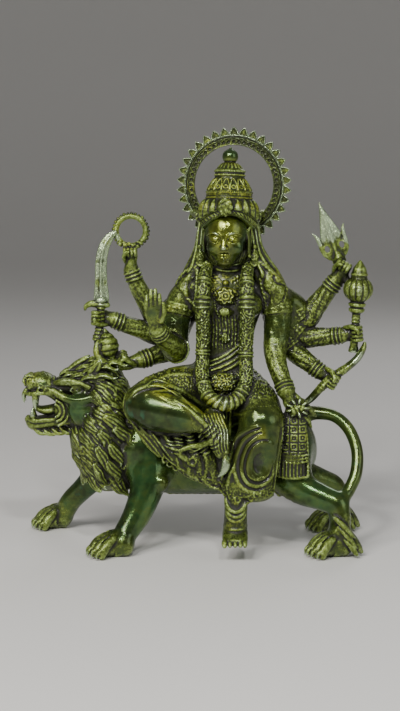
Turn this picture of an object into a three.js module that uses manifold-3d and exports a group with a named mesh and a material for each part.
// A cast bronze group: an eight-armed goddess, crowned, seated sideways on a striding lion, with a toothed
// ring halo standing behind her head. Millimetres, +Z up. The goddess faces -Y and the lion faces -X. The
// origin is on the ground, under the middle of the group.
import * as THREE from "three";
import { mergeVertices } from "three/addons/utils/BufferGeometryUtils.js";
import Module from "manifold-3d";

const wasm = await Module();
wasm.setup();

// Driving dimensions, in millimetres.
const GODDESS_HEIGHT = 324; // sole of the hanging foot to the crown's tip
const LION_LENGTH = 281; // snout to heel
const SEAT_CLEARANCE = 0.4; // between one casting and the next
const SEAT_X = 20;
const HALO_INNER_RADIUS = 33.4;
const HALO_BAND_WIDTH = 7.4;
const HALO_TOOTH_HEIGHT = 8;
const HALO_TOOTH_COUNT = 34;
const HALO_THICKNESS = 4;
const HALO_TOOTH_THICKNESS = 2.4;
const HALO_TURN = -8; // degrees about the upright axis, facing a little to the lion's head
const HEAD_TURN = -8; // the head looks the same way
const CROWN_HEIGHT = 67.5; // from the foot of its headband to its tip
const GROUND_CUT_DEPTH = 60; // of the block that levels the soles
const CHAKRA_RADIUS = 12.4; // to the middle of the discus rim
const CHAKRA_RIM = 2.1;
const MACE_BALL_RADIUS = 12.3;
const MACE_RIBS = 12;
const BLADE_HALF_THICKNESS = 1.7;
const TRIDENT_THICKNESS = 3.4;
const MANE_ROWS = 6;
const MANE_LOCKS_PER_ROW = 9;
const GODDESS_FACETS = 5600;
const LION_FACETS = 2950;

// A pose is drawn in millimetres on a figure of the drawn size; this places and sizes it for the real one.
const DRAWN_GODDESS_HEIGHT = 324;
const DRAWN_LION_LENGTH = 281;
const DRAWN_SEAT = [20, 0, 106];
const DRAWN_CENTRE = [-1.7, -5.6, 0]; // under the middle of the drawn group
const lionScale = LION_LENGTH / DRAWN_LION_LENGTH;
const goddessScale = GODDESS_HEIGHT / DRAWN_GODDESS_HEIGHT;

function poser(scale, from, to) {
  const place = ([x, y, z]) =>
    new THREE.Vector3(
      to[0] + scale * (x - from[0]),
      to[1] + scale * (y - from[1]),
      to[2] + scale * (z - from[2]),
    );
  place.scale = scale;
  return place;
}

const onLion = poser(lionScale, DRAWN_CENTRE, [0, 0, 0]);
const onGoddess = poser(goddessScale, DRAWN_SEAT, onLion([SEAT_X, 0, DRAWN_SEAT[2]]).toArray());

// A closed three.js geometry as a solid.
function solid(geometry) {
  const bare = geometry.index ? geometry.toNonIndexed() : geometry.clone();
  bare.deleteAttribute("normal");
  bare.deleteAttribute("uv");
  const merged = mergeVertices(bare, 1e-4);
  const kept = [];
  const index = merged.index.array;
  for (let i = 0; i < index.length; i += 3) {
    const [a, b, c] = [index[i], index[i + 1], index[i + 2]];
    if (a !== b && b !== c && a !== c) kept.push(a, b, c);
  }
  const make = (triVerts) =>
    new wasm.Manifold(
      new wasm.Mesh({ numProp: 3, vertProperties: merged.attributes.position.array, triVerts }),
    );
  const made = make(new Uint32Array(kept));
  if (made.volume() > 0) return made;
  for (let i = 0; i < kept.length; i += 3) [kept[i + 1], kept[i + 2]] = [kept[i + 2], kept[i + 1]];
  return make(new Uint32Array(kept));
}

function join(solids) {
  return wasm.Manifold.union(solids);
}

// The same closed skin with fewer facets. Each pass joins the edges whose loss moves the surface least, by
// the summed squared distances to the planes round their two corners, and leaves out any join that would
// fold a facet over or pinch the skin.
function thinned(made, facets) {
  const mesh = made.getMesh();
  const corners = [];
  for (let i = 0; i < mesh.numVert; i++)
    corners.push(new THREE.Vector3().fromArray(mesh.vertProperties, 3 * i));
  let faces = [];
  for (let i = 0; i < mesh.triVerts.length; i += 3) faces.push(Array.from(mesh.triVerts.slice(i, i + 3)));
  const normalOf = ([a, b, c]) =>
    corners[b].clone().sub(corners[a]).cross(corners[c].clone().sub(corners[a]));
  const quadrics = corners.map(() => new Float64Array(10));
  for (const face of faces) {
    const n = normalOf(face);
    const area = n.length();
    if (area < 1e-9) continue;
    n.divideScalar(area);
    const d = -n.dot(corners[face[0]]);
    const plane = [n.x, n.y, n.z, d];
    for (const v of face) {
      let slot = 0;
      for (let i = 0; i < 4; i++)
        for (let j = i; j < 4; j++) quadrics[v][slot++] += area * plane[i] * plane[j];
    }
  }
  const cost = (q, p) => {
    const h = [p.x, p.y, p.z, 1];
    let [sum, slot] = [0, 0];
    for (let i = 0; i < 4; i++)
      for (let j = i; j < 4; j++) sum += q[slot++] * h[i] * h[j] * (i === j ? 1 : 2);
    return sum;
  };
  while (faces.length > facets) {
    const around = corners.map(() => []);
    faces.forEach((face, f) => face.forEach((v) => around[v].push(f)));
    const edges = [];
    for (const [a, b, c] of faces)
      for (const [u, v] of [[a, b], [b, c], [c, a]]) {
        if (u > v) continue;
        const q = quadrics[u].map((x, i) => x + quadrics[v][i]);
        const spots = [corners[u], corners[v], corners[u].clone().add(corners[v]).multiplyScalar(0.5)];
        const costs = spots.map((p) => cost(q, p));
        const best = costs.indexOf(Math.min(...costs));
        const length = spots[0].distanceToSquared(spots[1]);
        edges.push({ u, v, q, spot: spots[best].clone(), cost: costs[best] + 1e-7 * length });
      }
    edges.sort((a, b) => a.cost - b.cost);
    const touched = new Uint8Array(corners.length);
    const gone = new Uint8Array(faces.length);
    const limit = Math.min(Math.ceil(edges.length * 0.04), Math.ceil((faces.length - facets) / 2));
    let joined = 0;
    for (const { u, v, q, spot } of edges) {
      if (joined >= limit) break;
      if (touched[u] || touched[v]) continue;
      const ringOf = (w) => new Set(around[w].flatMap((f) => faces[f]));
      const [ringU, ringV] = [ringOf(u), ringOf(v)];
      const shared = [...ringU].filter((w) => ringV.has(w)).length;
      if (shared !== 4) continue; // the two ends and the two facets' far corners
      const folds = [u, v].some((w) =>
        around[w].some((f) => {
          const face = faces[f];
          if (face.includes(u) && face.includes(v)) return false;
          const before = normalOf(face);
          const kept = corners[w];
          corners[w] = spot;
          const after = normalOf(face);
          corners[w] = kept;
          const [m, n] = [before.length(), after.length()];
          return n < 0.02 * spot.distanceToSquared(kept) || (m > 1e-3 && before.dot(after) < 0.25 * m * n);
        }),
      );
      if (folds) continue;
      for (const w of [...ringU, ...ringV]) touched[w] = 1;
      for (const f of around[v]) {
        if (faces[f].includes(u)) gone[f] = 1;
        else faces[f] = faces[f].map((w) => (w === v ? u : w));
      }
      corners[u] = spot;
      quadrics[u] = q;
      joined++;
    }
    if (!joined) break;
    faces = faces.filter((_, f) => !gone[f]);
  }
  const number = new Map();
  for (const v of faces.flat()) if (!number.has(v)) number.set(v, number.size);
  const vertProperties = new Float32Array([...number.keys()].flatMap((v) => corners[v].toArray()));
  const triVerts = new Uint32Array(faces.flat().map((v) => number.get(v)));
  return new wasm.Manifold(new wasm.Mesh({ numProp: 3, vertProperties, triVerts }));
}

// The same skin with each corner moved outwards, to cut room for it out of a neighbour.
function swollen(made, by) {
  const geometry = geometryOf(made);
  const { position, normal } = geometry.attributes;
  for (let i = 0; i < position.count; i++)
    position.setXYZ(
      i,
      position.getX(i) + by * normal.getX(i),
      position.getY(i) + by * normal.getY(i),
      position.getZ(i) + by * normal.getZ(i),
    );
  const vertProperties = position.array;
  return new wasm.Manifold(new wasm.Mesh({ numProp: 3, vertProperties, triVerts: geometry.index.array }));
}

function geometryOf(made) {
  const mesh = made.getMesh();
  const geometry = new THREE.BufferGeometry();
  geometry.setAttribute("position", new THREE.BufferAttribute(mesh.vertProperties, 3));
  geometry.setIndex(new THREE.BufferAttribute(mesh.triVerts, 1));
  geometry.computeVertexNormals();
  return geometry;
}

// The value between stops at t, from 0 at the first to 1 at the last, eased so that a taper has no kink.
function between(values, t) {
  const at = Math.min(t * (values.length - 1), values.length - 1.000001);
  const i = Math.floor(at);
  const f = at - i;
  return THREE.MathUtils.lerp(values[i], values[i + 1], f * f * (3 - 2 * f) * 0.5 + f * 0.5);
}

// A closed skin of oval sections along a smooth curve. A stop is [x, y, z, half width, half depth]; the
// half width runs along the side direction, as far as the curve lets it. round closes the ends with a dome.
function limb(pose, stops, { sides = 8, side = [0, 1, 0], steps = 2, round = true } = {}) {
  const curve = new THREE.CatmullRomCurve3(
    stops.map((s) => pose(s)),
    false,
    "centripetal",
  );
  const widths = stops.map((s) => s[3] * pose.scale);
  const depths = stops.map((s) => (s[4] ?? s[3]) * pose.scale);
  const rows = (stops.length - 1) * steps;
  const hint = new THREE.Vector3(...side);
  const position = [];
  const ring = (at, wide, deep, a, b) => {
    for (let k = 0; k < sides; k++) {
      const turn = (2 * Math.PI * (k + 0.5)) / sides;
      const p = at.clone();
      p.addScaledVector(wide, a * Math.cos(turn)).addScaledVector(deep, b * Math.sin(turn));
      position.push(p.x, p.y, p.z);
    }
  };
  const dome = [0.75, 0.55]; // share of the radius, and how far out, for the ring that rounds an end
  const poles = [];
  for (let i = 0; i <= rows; i++) {
    const t = i / rows;
    const at = curve.getPoint(t);
    const along = curve.getTangent(t);
    const wide = hint.clone().addScaledVector(along, -hint.dot(along)).normalize();
    const deep = along.clone().cross(wide);
    const [a, b] = [between(widths, t), between(depths, t)];
    const reach = Math.min(a, b);
    const end = i === 0 ? -1 : i === rows ? 1 : 0;
    const cap = () =>
      ring(at.clone().addScaledVector(along, end * reach * dome[1]), wide, deep, a * dome[0], b * dome[0]);
    if (end < 0 && round) cap();
    ring(at, wide, deep, a, b);
    if (end > 0 && round) cap();
    if (end) poles.push(at.clone().addScaledVector(along, end * reach * (round ? 0.85 : 0.1)));
  }
  const rings = position.length / 3 / sides;
  poles.forEach((p) => position.push(p.x, p.y, p.z));
  const [first, last] = [rings * sides, rings * sides + 1];
  const index = [];
  for (let r = 0; r < rings - 1; r++)
    for (let k = 0; k < sides; k++) {
      const [a, b] = [r * sides + k, r * sides + ((k + 1) % sides)];
      index.push(a, b, b + sides, a, b + sides, a + sides);
    }
  for (let k = 0; k < sides; k++) {
    const next = (k + 1) % sides;
    index.push(first, next, k, last, (rings - 1) * sides + k, (rings - 1) * sides + next);
  }
  const geometry = new THREE.BufferGeometry();
  geometry.setAttribute("position", new THREE.Float32BufferAttribute(position, 3));
  geometry.setIndex(index);
  return solid(geometry);
}

// An ellipsoid at a drawn point, with its three half sizes.
function ball(pose, at, [rx, ry, rz], { columns = 10, rows = 6, turn = [0, 0, 0] } = {}) {
  const s = pose.scale;
  const geometry = new THREE.SphereGeometry(1, columns, rows);
  geometry.rotateX(Math.PI / 2);
  geometry.scale(rx * s, ry * s, rz * s);
  const euler = new THREE.Euler(...turn.map((a) => THREE.MathUtils.degToRad(a)));
  geometry.applyQuaternion(new THREE.Quaternion().setFromEuler(euler));
  geometry.translate(...pose(at).toArray());
  return solid(geometry);
}

// A turned form about the axis from one drawn point towards another. The profile is [radius, height], and
// ribs pushes every other column out by a share of the radius between two heights.
function turned(pose, from, to, profile, { columns = 16, ribs = null } = {}) {
  const s = pose.scale;
  const points = profile.map(([r, h]) => new THREE.Vector2(r * s, h * s));
  const geometry = new THREE.LatheGeometry(points, columns);
  geometry.rotateX(Math.PI / 2);
  const position = geometry.attributes.position;
  if (ribs)
    for (let i = 0; i < position.count; i++) {
      const [x, y, z] = [position.getX(i), position.getY(i), position.getZ(i)];
      const column = Math.round((Math.atan2(y, x) / (2 * Math.PI)) * columns + columns);
      const push = column % 2 === 0 && z > ribs.low * s && z < ribs.high * s ? 1 + ribs.share : 1;
      position.setXYZ(i, x * push, y * push, z);
    }
  const axis = pose(to).sub(pose(from)).normalize();
  const turn = new THREE.Quaternion().setFromUnitVectors(new THREE.Vector3(0, 0, 1), axis);
  geometry.applyQuaternion(turn);
  geometry.translate(...pose(from).toArray());
  return solid(geometry);
}

// A raised band round a limb: a short turned drum at a drawn point, along a drawn direction.
function band(pose, at, along, radius, width, columns = 8) {
  const to = at.map((v, i) => v + along[i]);
  const half = width / 2;
  const profile = [
    [0, -half],
    [radius * 0.94, -half],
    [radius, 0],
    [radius * 0.94, half],
    [0, half],
  ];
  return turned(pose, at, to, profile, { columns });
}

// A flat form: a shape in the drawn XZ plane, thick along Y about a drawn point, turned about Y by tilt.
function plate(pose, at, shape, thickness, tilt = 0) {
  const settings = { depth: thickness, bevelEnabled: false, curveSegments: 6 };
  const geometry = new THREE.ExtrudeGeometry(shape, settings);
  geometry.translate(0, 0, -thickness / 2);
  geometry.rotateX(Math.PI / 2);
  geometry.rotateY(THREE.MathUtils.degToRad(tilt));
  geometry.scale(pose.scale, pose.scale, pose.scale);
  geometry.translate(...pose(at).toArray());
  return solid(geometry);
}

// The lion
const NECK = [
  [-76, 0, 62, 24, 19],
  [-80, 0, 78, 29, 22],
  [-82, 0, 96, 31, 22],
  [-82, 0, 114, 30, 22],
  [-84, 0, 132, 24, 18],
  [-88, 0, 146, 17, 13],
];

// The neck's oval at a height: its centre along the lion and its two half sizes.
function neckAt(z) {
  const heights = NECK.map((n) => n[2]);
  const i = Math.min(Math.max(heights.findIndex((h) => h > z) - 1, 0), NECK.length - 2);
  const f = THREE.MathUtils.clamp((z - heights[i]) / (heights[i + 1] - heights[i]), 0, 1);
  const mix = (k) => THREE.MathUtils.lerp(NECK[i][k], NECK[i + 1][k], f);
  return { x: mix(0), across: mix(3), along: mix(4) };
}

// A point just proud of the neck at an angle from the front, where 0 faces -X and 90 faces -Y.
function onNeck(degrees, z, proud) {
  const { x, across, along } = neckAt(z);
  const turn = THREE.MathUtils.degToRad(degrees);
  return [x - (along + proud) * Math.cos(turn), -(across + proud) * Math.sin(turn), z];
}

function maneLock(degrees, z) {
  const sweep = degrees >= 0 ? 1 : -1;
  const stops = [
    [...onNeck(degrees, z, -1), 4.2, 2.6],
    [...onNeck(degrees + 11 * sweep, z - 7, 1.6), 4.6, 3],
    [...onNeck(degrees + 17 * sweep, z - 15, 1.8), 3.4, 2.4],
    [...onNeck(degrees + 27 * sweep, z - 20, 3), 0.7, 0.6],
  ];
  return limb(onLion, stops, { sides: 4, side: [0, 0, 1], steps: 1, round: false });
}

function mane() {
  const locks = [];
  const [top, bottom] = [143, 72];
  for (let row = 0; row < MANE_ROWS; row++) {
    const z = THREE.MathUtils.lerp(top, bottom, row / (MANE_ROWS - 1));
    for (let k = 0; k < MANE_LOCKS_PER_ROW; k++) {
      const first = row < 3 ? 48 : 8; // the face covers the front of the upper rows
      const span = 150 - first;
      const degrees = first + (span * (k + (row % 2) * 0.5)) / (MANE_LOCKS_PER_ROW - 0.5);
      if (k % 2 === row % 2) locks.push(maneLock(degrees, z), maneLock(-degrees, z));
    }
  }
  return locks;
}

const LION_MIDLINE = -4; // the head turns a little towards the viewer
const FANGS = [
  [[-137, 9, 129, 2.8], [-138, 9.5, 123, 2.1], [-137.5, 9.5, 116, 0.6]],
  [[-145, 5, 132, 2.4], [-148, 5, 127.5, 1.7], [-147.5, 5.5, 122.5, 0.6]],
  [[-139, 6, 107, 2.3], [-140.5, 7, 112, 1.7], [-140, 7, 117, 0.6]],
];
const JAW_FOLD_CENTRE = [-126, 113];
const JAW_FOLD_RADII = [9, 12.2, 15.4];

function lionHead() {
  const parts = [
    ball(onLion, [-95, -2, 138], [18, 19, 17]),
    limb(onLion, [
      [-92, -3, 138, 17, 15], [-107, -4, 136.5, 14, 11], [-120, -4, 134, 10.5, 7],
      [-131, -4, 137.5, 12.5, 10], [-140, -4, 137.5, 11, 9.5],
    ]),
    limb(onLion, [
      [-100, -4, 109, 14, 11], [-115, -4, 108, 12.5, 6.5], [-130, -4, 104, 10.5, 5.5],
      [-140, -4, 103, 8.5, 5.5], [-144.5, -4, 107, 5, 3.5],
    ]),
    limb(onLion, [
      [-104, -4, 116, 7, 4], [-118, -4, 114.5, 6.5, 4], [-129, -4, 112, 5.5, 3.5],
      [-134, -4, 114.5, 3.5, 2],
    ]),
    ball(onLion, [-97, -3, 114], [14, 18, 13]),
    limb(onLion, [[-90, -2, 150, 13, 5], [-101, -3, 150, 12, 5], [-112, -4, 145, 8, 3]]),
  ];
  for (const flank of [-1, 1]) {
    const y = (out) => LION_MIDLINE + flank * out;
    const strand = (stops, options) => {
      const placed = stops.map(([x, out, ...rest]) => [x, y(out), ...rest]);
      parts.push(limb(onLion, placed, options));
    };
    for (const fang of FANGS) strand(fang, { sides: 5, steps: 1 });
    strand([
      [-121, 9, 138.5, 2.6], [-110, 14, 137, 3.6], [-99, 17.5, 132, 4], [-88, 19, 133, 3],
    ], { sides: 6, side: [0, 0, 1] });
    strand([
      [-122, 9, 126, 2.6], [-106, 14, 123, 3.2], [-92, 18, 121, 4.5],
    ], { sides: 6, side: [0, 0, 1] });
    strand([
      [-112, 11, 140, 4, 2.5], [-115, 13, 145, 3, 2], [-117, 13, 149, 0.6],
    ], { sides: 5, side: [1, 0, 0], steps: 1, round: false });
    strand([
      [-112, 4, 148, 3.4, 2.4], [-104, 6, 154, 3.6, 2.6], [-95, 6, 158, 1.4],
    ], { sides: 5, steps: 1 });
    for (const radius of JAW_FOLD_RADII) {
      const fold = [60, 25, -10, -45, -70].map((degrees) => {
        const turn = THREE.MathUtils.degToRad(degrees);
        const [x, z] = JAW_FOLD_CENTRE;
        return [x + radius * Math.cos(turn), 8.5 + 0.3 * radius, z + radius * Math.sin(turn), 1.7];
      });
      strand(fold, { sides: 5, steps: 1 });
    }
  }
  return parts;
}

// A paw at a drawn point, facing -X: a domed pad and four toes.
function paw([x, y], heel = 16) {
  const parts = [limb(onLion, [
    [x + heel, y, 8, 9, 10.5], [x + 4, y, 9.5, 11.5, 12], [x - 8, y, 7, 11, 9.5],
  ])];
  for (const out of [-8.2, -2.8, 2.8, 8.2]) {
    const back = Math.abs(out) * 0.35;
    const toe = [
      [x - 4 + back, y + out, 10.5, 3.2], [x - 12 + back, y + out * 1.05, 7.5, 3.5],
      [x - 14.5 + back, y + out * 1.05, 1.5, 2.8],
    ];
    parts.push(limb(onLion, toe, { sides: 6, steps: 1 }));
  }
  return parts;
}

const FRONT_LEG_NEAR = [
  [-46, -20, 84, 14, 21], [-43, -28, 64, 13, 17], [-45, -33, 50, 11.5, 13.5],
  [-52, -38, 33, 10.5, 11.5], [-60, -43, 20, 9.5, 10], [-66, -48, 12, 9, 9],
];
const FRONT_LEG_FAR = [
  [-62, 18, 80, 14, 19], [-76, 26, 66, 12.5, 15], [-89, 32, 52, 10.5, 12], [-101, 37, 39, 9, 9.5],
  [-112, 43, 27, 8.5, 9], [-120, 48, 14, 9, 9],
];
const HIND_LEG_NEAR = [
  [66, -16, 86, 16, 25], [74, -24, 66, 15, 21], [85, -31, 53, 13, 14], [100, -37, 47, 10.5, 11],
  [112, -42, 42, 9, 10], [115.5, -44, 32, 8.5, 9], [115, -46, 22, 8.5, 9], [113, -49, 12, 9.5, 9],
];
const HIND_LEG_FAR = [
  [66, 16, 86, 16, 25], [75, 22, 66, 15, 21], [88, 28, 53, 13, 14], [104, 33, 46, 10.5, 11],
  [116, 37, 40, 9, 10], [119.5, 39, 31, 8.5, 9], [119, 41, 21, 8.5, 9], [118, 42, 12, 9.5, 9],
];
const HIND_PAWS = [[105, -50], [111, 42]];
const TAIL = [
  [80, 0, 104, 7], [90, 0, 110, 6.4], [101, -2, 111.5, 5.6], [114, -6, 109, 5], [125, -12, 99, 5],
  [131, -20, 83, 5], [130, -28, 66, 5.2], [124, -34, 53, 5.2], [116, -40, 43, 5.4],
];

function lionCasting() {
  const alongBody = { sides: 12, side: [0, 1, 0] };
  const leg = { sides: 9, side: [0, 1, 0], steps: 1 };
  const parts = [
    limb(onLion, [
      [-84, 0, 86, 26, 27], [-62, 0, 82, 30, 33], [-28, 0, 76, 29, 33], [20, 0, 74, 27, 31],
      [56, 0, 79, 28, 32], [80, 0, 84, 22, 27],
    ], alongBody),
    limb(onLion, NECK, { sides: 12, side: [0, 1, 0], steps: 1 }),
    limb(onLion, FRONT_LEG_NEAR, leg),
    limb(onLion, FRONT_LEG_FAR, leg),
    limb(onLion, HIND_LEG_NEAR, leg),
    limb(onLion, HIND_LEG_FAR, leg),
    limb(onLion, TAIL, { sides: 8, side: [0, 1, 0] }),
    ...paw([-75, -50]),
    ...paw([-131, 50], 9),
    ...HIND_PAWS.flatMap((at) => paw(at)),
    ...lionHead(),
    ...mane(),
  ];
  for (const [x, y] of HIND_PAWS) // the swept tuft behind the paw
    parts.push(limb(onLion, [
      [x + 7, y, 22, 8, 6], [x + 17, y, 15, 8.5, 6.5], [x + 25, y, 7, 6, 4], [x + 28, y, 4, 2, 2],
    ], { sides: 7, steps: 1 }));
  const below = new THREE.BoxGeometry(2 * LION_LENGTH, 2 * LION_LENGTH, GROUND_CUT_DEPTH);
  below.translate(0, 0, -GROUND_CUT_DEPTH / 2);
  return largestPiece(thinned(join(parts), LION_FACETS).subtract(solid(below)));
}

// The goddess
const HEAD_CENTRE = [22, -8, 259];
const CROWN_FOOT = [23.6, -4, 270];
const CROWN_TILT = [1.9, 5, 70]; // it leans back with the head
const CROWN_PEAK = [
  [4, -18, 275, 2.4, 3], [12, -26, 277, 3, 3], [20.5, -28.5, 279.5, 3.4, 3],
  [30, -27.5, 277.5, 3, 3], [40, -20, 275, 2.4, 3],
];
const CHAKRA_CENTRE = [-57.5, -1, 265];

const ARMS = {
  blessing: [
    [-6, 0, 219, 11], [-15, -1, 208, 12], [-19, -3, 192, 11.5], [-21, -7, 177, 11],
    [-20, -12, 168, 10.5], [-25, -22, 173, 9], [-31, -30, 180, 7.5], [-35, -37, 187, 6.5],
  ],
  discus: [
    [-8, 8, 213, 9], [-25, 11, 198, 9], [-35, 10, 187, 8.5], [-46, 7, 206, 7.8], [-53, 4, 220, 7],
    [-57.5, 3, 232, 6.2],
  ],
  sword: [
    [-10, 12, 208, 9], [-26, 14, 190, 9.5], [-35, 11, 177, 9], [-49, 7, 181.5, 8],
    [-62, 4, 186, 7.2], [-73, 1, 190.5, 6.3],
  ],
  conch: [
    [-10, 12, 200, 10], [-19, 11, 180, 10.5], [-24, 7, 166, 10], [-37, 1, 160.5, 7.8],
    [-50, -5, 157, 6.5],
  ],
  lotus: [
    [56, 0, 220, 11], [63, -1, 208, 12], [65, -4, 192, 11.5], [63.5, -8, 176, 10.5],
    [62.5, -12, 167, 9.5], [64, -19, 155, 8.3], [68, -27, 143, 7.4], [71.5, -33, 134, 6.8],
  ],
  trident: [
    [62, 6, 213, 10], [78, 10, 202, 10.5], [88, 12, 190, 10.5], [97, 11, 200, 9],
    [106, 8, 212, 7.6], [114, 5, 223.5, 6.5],
  ],
  mace: [
    [62, 8, 204, 10], [76, 11, 187, 11], [87, 11, 176, 10], [98, 8, 175, 8.3], [110, 4, 176, 7.2],
    [120, 1, 177.5, 6.3],
  ],
  bow: [
    [62, 8, 194, 10], [71, 9, 176, 10.5], [79, 7, 164, 9], [89, 3, 155.5, 7.8],
    [97, 0, 149.5, 6.8], [102, -2, 146, 6.2],
  ],
};

// A closed hand: a palm and four fingers curled round what it holds. along runs from wrist to knuckles.
function fist(at, along, curl, size = 1) {
  const a = new THREE.Vector3(...along).normalize();
  const c = new THREE.Vector3(...curl).normalize();
  const across = a.clone().cross(c);
  const step = (x, y, z) => {
    const spot = new THREE.Vector3(...at).addScaledVector(a, x * size).addScaledVector(c, y * size);
    return spot.addScaledVector(across, z * size).toArray();
  };
  const parts = [
    limb(onGoddess, [
      [...step(-7, 0, 0), 5.2 * size, 4.6 * size], [...step(0, -1, 0), 7 * size, 4 * size],
      [...step(4, 0, 0), 6.6 * size, 3.6 * size],
    ], { side: across.toArray(), steps: 1 }),
  ];
  for (const out of [-5, -1.7, 1.7, 5])
    parts.push(
      limb(onGoddess, [
        [...step(3, -1, out), 1.9 * size], [...step(8, 2, out), 2 * size],
        [...step(7, 7, out), 1.9 * size], [...step(2, 8, out), 1.5 * size],
      ], { sides: 5, side: across.toArray(), steps: 1 }),
    );
  parts.push(
    limb(onGoddess, [
      [...step(-3, 2, -5), 2.2 * size], [...step(2, 7, -6), 2 * size],
      [...step(5, 9.5, -3), 1.5 * size],
    ], { sides: 5, side: a.toArray(), steps: 1 }),
  );
  return parts;
}

function arms() {
  const parts = [];
  for (const stops of Object.values(ARMS)) {
    parts.push(limb(onGoddess, stops, { sides: 8, side: [0, 1, 0], steps: 1 }));
    const [a, b] = [stops[stops.length - 2], stops[stops.length - 1]];
    const along = [0, 1, 2].map((i) => b[i] - a[i]);
    const spot = (f) => [0, 1, 2].map((i) => THREE.MathUtils.lerp(a[i], b[i], f));
    parts.push(band(onGoddess, spot(0.95), along, b[3] + 1.6, 3));
    parts.push(band(onGoddess, spot(0.45), along, b[3] + 2, 2.6));
    const [c, d] = [stops[1], stops[2]];
    const upper = [0, 1, 2].map((i) => d[i] - c[i]);
    parts.push(band(onGoddess, [0, 1, 2].map((i) => (c[i] + d[i]) / 2), upper, d[3] + 2, 4));
  }
  return parts;
}

function blessingHand() {
  const parts = [
    limb(onGoddess, [
      [-35.5, -38, 188, 5.4, 4], [-37, -41, 198, 7.2, 3.8], [-38, -42.5, 206, 7.4, 3.2],
    ], { side: [1, 0, 0] }),
    limb(onGoddess, [
      [-32, -41, 196, 2.6], [-29.5, -43, 203, 2.3], [-30, -44, 209, 1.8],
    ], { sides: 6, side: [1, 0, 0], steps: 1 }),
  ];
  [[-44, 215], [-40, 219.5], [-36, 220], [-32.5, 216]].forEach(([x, top]) =>
    parts.push(
      limb(onGoddess, [
        [x + (x + 38) * 0.05, -42, 204, 2], [x, -43.5, 211, 2], [x, -43, top, 1.7],
      ], { sides: 6, side: [1, 0, 0], steps: 1 }),
    ),
  );
  return parts;
}

function hands() {
  return [
    ...blessingHand(),
    ...fist([-58, 1, 243], [-0.05, -0.1, 1], [0, -1, 0], 0.85),
    ...fist([-80, -1, 192], [-1, -0.3, 0.05], [-0.2, -1, 0.1]),
    ...fist([-60, -7, 155], [-1, -0.2, -0.15], [0.1, -0.5, 0.9]),
    ...fist([75, -36, 127], [0.5, -0.3, -1], [0.4, -1, 0]),
    ...fist([118, 2, 231], [0.5, -0.3, 1], [-0.2, -1, 0.1], 0.95),
    ...fist([126, -1, 179], [1, -0.2, 0.1], [0, -1, 0]),
    ...fist([107, -5, 143.5], [1, -0.3, -0.6], [-0.1, -1, -0.1]),
  ];
}

function sword() {
  const y = -6;
  return [
    limb(onGoddess, [
      [-82.5, y, 204, BLADE_HALF_THICKNESS, 5], [-82.2, y, 209, BLADE_HALF_THICKNESS, 6.6],
      [-82.4, y, 224, BLADE_HALF_THICKNESS, 5.2], [-82.2, y, 240, BLADE_HALF_THICKNESS, 4.9],
      [-79.6, y, 252, BLADE_HALF_THICKNESS, 4.6], [-75, y + 1, 260, BLADE_HALF_THICKNESS, 3.6],
      [-70, y + 2, 264.5, 1.2, 1.6],
    ], { sides: 6, side: [0, 1, 0], steps: 2 }),
    limb(onGoddess, [
      [-78, y, 203, 3], [-85, y, 204, 3.4], [-91, y, 204.5, 2.8], [-95, y, 201.5, 1.6],
    ], { sides: 6, side: [0, 1, 0], steps: 1 }),
    limb(onGoddess, [
      [-82.5, y, 205, 4.6], [-82.8, y, 190, 3.6], [-84.5, y, 181, 3.8], [-85.5, y, 176, 4.6],
    ], { side: [0, 1, 0], steps: 1 }),
  ];
}

function discus() {
  const columns = 28;
  const shape = [];
  for (let k = 0; k <= 8; k++) {
    const turn = (2 * Math.PI * k) / 8;
    shape.push([CHAKRA_RADIUS + CHAKRA_RIM * Math.cos(turn), CHAKRA_RIM * Math.sin(turn)]);
  }
  const front = [CHAKRA_CENTRE[0], CHAKRA_CENTRE[1] - 1, CHAKRA_CENTRE[2]];
  return turned(onGoddess, CHAKRA_CENTRE, front, shape, { columns });
}

function conchShell() {
  return [
    limb(onGoddess, [
      [-73, -8, 160, 4], [-76, -8, 166, 8.5], [-77.5, -8, 172, 9], [-79, -7, 178, 5.5],
      [-80, -7, 182, 2],
    ], { side: [0, 1, 0], steps: 1, sides: 9 }),
    limb(onGoddess, [
      [-84, -10, 172, 3], [-85, -12, 164, 3.4], [-80, -12, 158, 3],
    ], { side: [0, 1, 0], steps: 1, sides: 6 }),
  ];
}

function trident() {
  const outline = new THREE.Shape();
  outline.moveTo(3.4, -3);
  outline.bezierCurveTo(9, 0, 12.5, 5, 12.6, 12);
  outline.bezierCurveTo(12.4, 16, 12, 20, 14.4, 26);
  outline.bezierCurveTo(9.4, 22, 8.4, 17, 8.2, 13);
  outline.lineTo(9.2, 17);
  outline.lineTo(0, 48);
  outline.lineTo(-9.2, 17);
  outline.lineTo(-8.2, 13);
  outline.bezierCurveTo(-8.4, 17, -9.4, 22, -14.4, 26);
  outline.bezierCurveTo(-12, 20, -12.4, 16, -12.6, 12);
  outline.bezierCurveTo(-12.5, 5, -9, 0, -3.4, -3);
  for (const flank of [-1, 1]) {
    const eye = new THREE.Path();
    eye.absellipse(flank * 6.4, 8.6, 2.1, 2.8, 0, 2 * Math.PI, flank < 0);
    outline.holes.push(eye);
  }
  return [
    plate(onGoddess, [115.2, 2, 243.5], outline, TRIDENT_THICKNESS, -20),
    limb(onGoddess, [
      [112.5, 2, 251, 2.6, 3.4], [108, 2, 264, 2.8, 3.2], [100.5, 2, 284, 0.8],
    ], { sides: 4, side: [0, 1, 0], steps: 1 }),
    limb(onGoddess, [
      [116, 2, 241, 5.2], [117, 2, 238.5, 3.6], [120, 2, 230, 3.2], [124, 3, 221, 3.2],
    ], { side: [0, 1, 0], steps: 1 }),
    band(onGoddess, [115.6, 2, 242], [-0.34, 0, 0.94], 6, 3),
  ];
}

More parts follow.
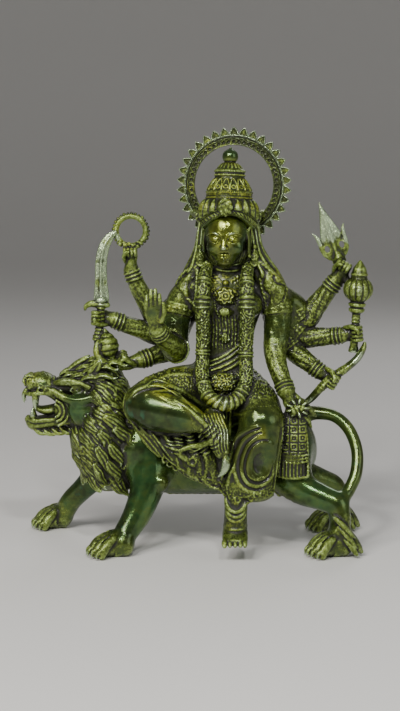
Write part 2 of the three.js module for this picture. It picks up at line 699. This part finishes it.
function mace() {
  const ball = MACE_BALL_RADIUS;
  const centre = 47;
  const profile = [
    [0, -6], [4.2, -6], [3.4, 0], [3.6, 27], [6.8, 29], [6.8, 31], [5, 32], [7.4, 33.5],
    [7.4, 35.5], [5.4, 36.5],
  ];
  for (const lift of [-0.8, -0.45, 0, 0.45, 0.8])
    profile.push([ball * Math.sqrt(1 - lift * lift), centre + ball * 0.92 * lift]);
  const finial = [[6.6, 11.5], [7.4, 12.6], [6.4, 14], [5.4, 18], [2.4, 23], [0, 24.5]];
  profile.push(...finial.map(([radius, height]) => [radius, centre + height]));
  return turned(onGoddess, [128.8, -5, 169.5], [133.4, -5, 239.5], profile, {
    columns: 2 * MACE_RIBS,
    ribs: { low: centre - ball * 0.6, high: centre + ball * 0.6, share: 0.07 },
  });
}

function bow() {
  return limb(onGoddess, [
    [136.5, -9, 169, 2.2, 2], [131.5, -9, 158.5, 3, 3], [122, -10, 150.5, 3.2, 3.2],
    [110, -11, 143, 3.4, 3.4], [101, -10, 134, 3.2, 3.2], [94, -9, 126, 3, 3], [86, -9, 119, 2, 2],
  ], { sides: 6, side: [0, 1, 0], steps: 1 });
}

function head() {
  const [cx, cy, cz] = HEAD_CENTRE;
  const turn = THREE.MathUtils.degToRad(HEAD_TURN);
  // A point in the head's own frame: x to her left, y to the back, z up.
  const at = (x, y, z) => [
    cx + x * Math.cos(turn) - y * Math.sin(turn),
    cy + x * Math.sin(turn) + y * Math.cos(turn),
    cz + z,
  ];
  const parts = [
    limb(onGoddess, [
      [...at(0, -4, -20), 8, 8.5], [...at(0, -3, -14), 13.5, 15], [...at(0, -1, -5), 17, 19],
      [...at(0, 0, 6), 18, 20.5], [...at(0, 1, 18), 16, 18],
    ], { sides: 12, side: [1, 0, 0], steps: 1 }),
    limb(onGoddess, [
      [...at(0, -18, 4), 1.8, 1.6], [...at(0, -20.5, -2), 2.4, 2], [...at(0, -21, -5.6), 3.2, 2],
    ], { sides: 6, side: [1, 0, 0], steps: 1 }),
    limb(onGoddess, [
      [...at(-5, -18, -12.2), 1, 1], [...at(0, -20.4, -11.4), 1.4, 1.6],
      [...at(5, -18, -12.2), 1, 1],
    ], { sides: 5, side: [0, 0, 1], steps: 1 }),
    limb(onGoddess, [
      [...at(-4, -17.6, -14), 1, 1], [...at(0, -19.6, -14.4), 1.5, 1.6],
      [...at(4, -17.6, -14), 1, 1],
    ], { sides: 5, side: [0, 0, 1], steps: 1 }),
    ball(onGoddess, at(0, -14.5, -18.5), [5, 5, 4.4], { columns: 8, rows: 5 }),
    ball(onGoddess, [23.5, 3, 258], [21.5, 17, 26]),
    limb(onGoddess, [
      [23.8, 2, 246, 11, 11], [24, 2, 234, 11.5, 10.5], [24, 2, 222, 14, 11],
    ], { side: [1, 0, 0], steps: 1 }),
  ];
  for (const flank of [-1, 1])
    parts.push(
      ball(onGoddess, at(7 * flank, -17, 0), [4.6, 3, 2.6], { columns: 8, rows: 5 }),
      limb(onGoddess, [
        [...at(2 * flank, -19.5, 4), 1, 1.4], [...at(7.5 * flank, -19, 6.2), 1.1, 1.6],
        [...at(13 * flank, -15, 3.6), 0.9, 1.2],
      ], { sides: 5, side: [0, 0, 1], steps: 1 }),
      limb(onGoddess, [
        [...at(18 * flank, -2, 6), 2.4, 3.6], [...at(19.5 * flank, -1, -3), 2.4, 3.4],
        [...at(19.5 * flank, -2, -12), 2, 2.6],
      ], { sides: 6, side: [1, 0, 0], steps: 1 }),
      ball(onGoddess, [21 + 21.3 * flank, -7, 243], [4.2, 3.8, 8.4], { columns: 8, rows: 6 }),
    );
  return parts;
}

function hair() {
  return [
    limb(onGoddess, [
      [4.5, -5, 274, 4.2], [3, -4, 258, 4.6], [1.5, -2, 244, 6], [-4, 0, 230, 8.6],
      [-10, 0, 219, 9],
    ], { side: [1, 0, 0], steps: 1 }),
    limb(onGoddess, [
      [42.5, -5, 274, 4.2], [44, -4, 258, 4.8], [46, -2, 244, 7], [53, 0, 230, 10.4],
      [60.5, -2, 217, 12], [64.5, -5, 203, 9], [60, -8, 193, 4],
    ], { side: [1, 0, 0], steps: 1 }),
    limb(onGoddess, [
      [24, 8, 268, 17, 10], [24, 13, 246, 19, 8], [23, 15, 222, 21, 7], [22, 16, 198, 16, 6],
      [21.5, 16, 180, 8, 4],
    ], { side: [1, 0, 0], steps: 1 }),
  ];
}

function crown() {
  // Radius and height over the headband's foot: headband, swelling lotus tier, plain band, tier of leaves,
  // double ring, ribbed dome, ball and spike.
  const profile = [
    [0, 0], [20, 0.6], [23.2, 3], [24.6, 6], [25.2, 9], [24.6, 12], [23.2, 15], [21, 18], [19.4, 20],
    [19, 21.5], [19, 25], [18.2, 28], [16, 32], [13, 36], [12.2, 38.5], [13.2, 39.6], [12, 41],
    [13.2, 42.6], [12.2, 44], [10, 45.4], [7.6, 49], [5.6, 51], [4.8, 52], [6.4, 54.4], [6.9, 56.4],
    [6.2, 59], [3, 61.4], [1.1, 62.6], [0, CROWN_HEIGHT],
  ];
  const tip = CROWN_FOOT.map((v, i) => v + CROWN_TILT[i]);
  const parts = [turned(onGoddess, CROWN_FOOT, tip, profile, { columns: 18 })];
  // the peak of the headband over the forehead, and the flower on it
  parts.push(limb(onGoddess, CROWN_PEAK, { sides: 6, side: [0, 0, 1], steps: 1 }));
  parts.push(ball(onGoddess, [20, -28, 286], [6, 3.4, 7.6], { columns: 8, rows: 6 }));
  for (const flank of [-1, 1]) {
    const x = 23.5 + 24 * flank;
    const stay = [
      [x - 2 * flank, 0, 278, 4.5], [x + 2 * flank, 13, 280, 4],
      [x + 4 * flank, 25.5 - 4 * flank, 281, 4.6],
    ];
    parts.push(ball(onGoddess, [x, -1, 277], [4.6, 5.4, 6.6], { columns: 8, rows: 6 }));
    parts.push(limb(onGoddess, stay, { side: [0, 0, 1], steps: 1 }));
  }
  return parts;
}

const GARLAND = [
  [6, -6, 236, 4.6], [3.3, -20, 224, 5.2], [1.8, -27, 206, 5.8], [2.2, -24, 186, 5.3],
  [2.2, -22, 166, 5.3], [2, -30, 147, 5.4], [6.4, -42, 133, 5.6], [18, -49, 126.6, 6],
  [30.5, -44, 130, 5.6], [37.5, -33, 142, 5.4], [38, -24, 164, 5.5], [38.6, -25, 186, 5.6],
  [38.6, -28, 206, 5.9], [38.4, -20, 224, 5.2], [40, -6, 236, 4.6],
];

function ornaments() {
  const parts = [limb(onGoddess, GARLAND, { sides: 7, side: [0.4, 1, 0.2], steps: 1 })];
  for (const x of [1.8, 38.6])
    for (const z of [200, 204, 208]) parts.push(band(onGoddess, [x, -26.5, z], [0, 0, 1], 7.4, 2.4));
  for (const x of [2.2, 38])
    for (const z of [163, 167]) parts.push(band(onGoddess, [x, -22.5, z], [0, 0, 1], 6.8, 2.2));
  parts.push(
    ball(onGoddess, [19.5, -17.5, 210], [10, 3.4, 7.5], { columns: 10, rows: 6 }),
    ball(onGoddess, [20, -16.5, 197.5], [4, 4, 4.4], { columns: 8, rows: 5 }),
    ball(onGoddess, [20.5, -14, 177.5], [5, 4.4, 5], { columns: 8, rows: 5 }),
    ball(onGoddess, [18.3, -26, 141], [12, 9, 7], { columns: 10, rows: 6 }),
  );
  return parts;
}

function torso() {
  return [
    limb(onGoddess, [
      [18.5, 1, 116, 33, 24], [18.5, 0, 131, 33, 23], [20, 0, 146, 26.5, 18.5],
      [21.5, -1, 162, 22.5, 14.5], [22, -1, 178, 23, 15], [22.5, 0, 196, 27.5, 17],
      [23.3, 1, 212, 31, 16.5], [23.8, 2, 222, 26, 13], [24, 2, 230, 15, 10.5],
    ], { sides: 12, side: [1, 0, 0], steps: 1 }),
    ball(onGoddess, [4, -11.5, 204], [11, 11, 10.5]),
    ball(onGoddess, [40.5, -11.5, 204], [11.5, 11, 10.5]),
  ];
}

function legsAndSkirt() {
  const parts = [
    ball(onGoddess, [18.5, -4, 127], [38, 26, 22], { columns: 12, rows: 8 }),
    limb(onGoddess, [
      [4, -6, 136, 19, 19], [-20, -18, 135, 18, 19], [-40, -29, 130.5, 16, 16],
      [-51, -35, 126, 13.5, 13],
    ], { sides: 10, side: [0, 0, 1] }),
    limb(onGoddess, [
      [-52, -37, 123, 13, 11], [-38, -44, 120.5, 16, 12.5], [-14, -50, 117.5, 14.5, 12],
      [3, -54, 113, 10.5, 9.5], [11, -56, 108, 8, 8],
    ], { sides: 10, side: [0, 0, 1], steps: 1 }),
    limb(onGoddess, [
      [10, -57, 110, 8, 7], [15, -60, 98, 8, 6.5], [18, -61.5, 86, 6.5, 5],
      [16.5, -61.5, 73, 2.6, 2.4],
    ], { side: [1, 0, 0], steps: 1 }),
    limb(onGoddess, [
      [36, -8, 130, 21, 19], [46, -26, 123, 19.5, 18.5], [51, -42, 112, 18, 17],
    ], { sides: 10, side: [1, 0, 0.3] }),
    limb(onGoddess, [
      [51, -45, 110, 17, 16], [46.5, -48, 92, 19.5, 15], [42, -50, 74, 20.5, 13.5],
      [39, -51, 57, 22, 12.5],
    ], { sides: 12, side: [1, 0, 0], steps: 1 }),
    limb(onGoddess, [
      [30.5, -52, 60, 9.6, 9], [29.5, -53, 44, 9.3, 9], [29, -54, 29, 9.6, 9.6],
      [28.8, -55.5, 22, 10, 8],
    ], { side: [1, 0, 0], steps: 1 }),
    limb(onGoddess, [
      [28.8, -53, 20, 9.5, 6.5], [28.6, -62, 19, 10.5, 5.6], [28.5, -70, 16.5, 10, 3.6],
    ], { side: [1, 0, 0], steps: 1 }),
    band(onGoddess, [29.6, -53, 38], [0, 0, 1], 11.4, 4, 10),
  ];
  // the folds that fan out from the folded knee, ending in the scalloped hem along the lion's flank
  const hem = [
    [-31, -34, 86], [-24, -36, 79], [-15, -38, 72], [-5, -40, 66], [6, -42, 61], [16, -44, 57],
  ];
  parts.push(
    limb(onGoddess, [
      [-48, -31, 113, 9, 6], [-27, -33, 99, 16, 7], [-2, -38, 84, 22, 7], [20, -42, 76, 20, 7],
    ], { sides: 8, side: [0.5, 0, 0.86], steps: 1 }),
  );
  hem.forEach(([x, y, z], i) => {
    const root = [-54 + i * 11, -36 - i * 2, 116 - i * 2];
    const middle = [(root[0] + x) / 2 - 2, (root[1] + y) / 2 - 2.5, (root[2] + z) / 2];
    parts.push(
      limb(onGoddess, [
        [...root, 3.6, 3], [...middle, 4.6, 3.2], [x, y - 2, z + 3, 5.4, 3.4],
        [x, y - 2, z, 5.6, 3],
      ], { sides: 6, side: [0.86, 0, 0.5], steps: 1 }),
    );
  });
  // the drawn lines of the skirt over the hanging shin, as nested arcs, and over the folded calf
  for (const lift of [0, 1, 2]) {
    const [w, h] = [8 + 4.6 * lift, 14 + 5 * lift];
    const arc = [];
    for (let k = 0; k <= 6; k++) {
      const turn = THREE.MathUtils.degToRad(150 + (k * 240) / 6);
      const aside = w * Math.sin(turn + Math.PI);
      const depth = -64.6 + 0.35 * lift * lift + 0.012 * aside * aside;
      arc.push([45 + aside, depth, 80 - 3 * lift + h * Math.cos(turn + Math.PI), 1.5]);
    }
    parts.push(limb(onGoddess, arc, { sides: 5, side: [0, 1, 0], steps: 1 }));
  }
  parts.push(
    limb(onGoddess, [
      [-56, -42, 131, 1.6], [-63, -36, 122, 1.7], [-60, -40, 110, 1.8], [-44, -51, 103, 1.8],
      [-20, -59, 101.5, 1.8], [0, -61, 104, 1.6],
    ], { sides: 5, side: [0, 1, 0], steps: 1 }),
    limb(onGoddess, [
      [-50, -44, 138, 2.4], [-30, -42, 139.5, 2.8], [-12, -45, 132.5, 2.8], [4, -52, 124, 2.4],
    ], { sides: 6, side: [0, 1, 0], steps: 1 }),
    limb(onGoddess, [
      [8, -48, 128, 8, 4], [13, -58, 112, 8, 4], [17, -62, 98, 7, 4], [19, -63, 88, 6, 3],
    ], { sides: 8, side: [1, 0, 0], steps: 1 }),
  );
  return parts;
}

function hangingSash() {
  return [
    limb(onGoddess, [
      [79, -34, 121, 8, 5], [77, -39, 108, 10.5, 5], [77, -40, 88, 11.5, 5],
      [76, -40.5, 66, 12.5, 4.4],
    ], { sides: 8, side: [1, 0, 0], steps: 1, round: false }),
    ball(onGoddess, [80, -37, 123], [11, 8, 8], { columns: 8, rows: 6 }),
    limb(onGoddess, [
      [84, -34, 124, 4], [91, -30, 118, 3], [96, -26, 113, 1],
    ], { sides: 6, side: [0, 1, 0], steps: 1 }),
  ];
}

function backOfSkirt() {
  const parts = [
    limb(onGoddess, [
      [19, 18, 124, 34, 9], [19, 29, 104, 36, 6], [19, 33, 84, 36, 5], [19, 34, 64, 36, 4.4],
    ], { sides: 10, side: [1, 0, 0], steps: 1 }),
  ];
  for (let k = 0; k < 7; k++) {
    const x = -11 + k * 10;
    parts.push(limb(onGoddess, [
      [19 + (x - 19) * 0.6, 24, 120, 3], [x, 36, 98, 3.4], [x, 38, 78, 3.8], [x, 38, 60, 4.2],
    ], { sides: 5, side: [1, 0, 0], steps: 1 }));
  }
  return parts;
}

// The halo: a flat ring with two raised rims on its front, and a thinner ring of teeth round it.
function haloSolid(grow) {
  const inner = HALO_INNER_RADIUS - grow;
  const outer = HALO_INNER_RADIUS + HALO_BAND_WIDTH + grow;
  const half = HALO_THICKNESS / 2 + grow;
  const tooth = HALO_TOOTH_THICKNESS / 2 + grow;
  const [rim, slope, groove] = [1.3, 0.8, 0.8];
  const profile = [
    [inner, -half],
    [inner + rim, -half],
    [inner + rim + slope, -half + groove],
    [outer - rim - slope, -half + groove],
    [outer - rim, -half],
    [outer, -half],
    [outer, half],
    [inner, half],
    [inner, -half],
  ].map(([r, y]) => new THREE.Vector2(r, y));
  const ring = new THREE.LatheGeometry(profile, HALO_TOOTH_COUNT);
  const step = (2 * Math.PI) / HALO_TOOTH_COUNT;
  const spot = (turn, r) => [-r * Math.sin(step * turn), r * Math.cos(step * turn)];
  const [teeth, bore] = [new THREE.Shape(), new THREE.Path()];
  const middle = (inner + outer) / 2;
  teeth.moveTo(...spot(0, outer + grow));
  bore.moveTo(...spot(0, middle));
  for (let k = 0; k < HALO_TOOTH_COUNT; k++) {
    teeth.lineTo(...spot(k + 0.5, outer + HALO_TOOTH_HEIGHT));
    if (k === HALO_TOOTH_COUNT - 1) break;
    teeth.lineTo(...spot(k + 1, outer + grow));
    bore.lineTo(...spot(k + 1, middle));
  }
  teeth.closePath();
  bore.closePath();
  teeth.holes.push(bore);
  const sheet = new THREE.ExtrudeGeometry(teeth, { depth: 2 * tooth, bevelEnabled: false });
  sheet.translate(0, 0, -tooth);
  sheet.rotateX(Math.PI / 2);
  return join([solid(ring), solid(sheet)]);
}

const HALO_CENTRE = [28.6, 22, 302.2];
function placedHalo(grow = 0) {
  return haloSolid(grow).rotate([0, 0, HALO_TURN]).translate(onGoddess(HALO_CENTRE).toArray());
}

// The three castings
function largestPiece(made) {
  return made.decompose().reduce((a, b) => (a.volume() > b.volume() ? a : b));
}

function goddessCasting(lion) {
  const figure = join([
    ...torso(),
    ...legsAndSkirt(),
    ...backOfSkirt(),
    ...hangingSash(),
    ...arms(),
    ...hands(),
    ...head(),
    ...hair(),
    ...crown(),
    ...ornaments(),
    ...sword(),
    discus(),
    ...conchShell(),
    ...trident(),
    mace(),
    bow(),
  ]);
  const seat = swollen(lion, SEAT_CLEARANCE);
  return largestPiece(thinned(figure, GODDESS_FACETS).subtract(seat).subtract(placedHalo(SEAT_CLEARANCE)));
}

const bronze = new THREE.MeshStandardMaterial({ color: 0x46502a, roughness: 0.42, metalness: 0.75 });
const darkBronze = new THREE.MeshStandardMaterial({ color: 0x39452a, roughness: 0.4, metalness: 0.75 });
const haloBronze = new THREE.MeshStandardMaterial({ color: 0x4a4a26, roughness: 0.5, metalness: 0.7 });

function piece(name, made, material) {
  const mesh = new THREE.Mesh(geometryOf(made), material);
  mesh.name = name;
  return mesh;
}

const group = new THREE.Group();
const lion = lionCasting();
group.add(piece("lion", lion, darkBronze));
group.add(piece("goddess", goddessCasting(lion), bronze));
group.add(piece("halo", placedHalo(), haloBronze));
export default group;
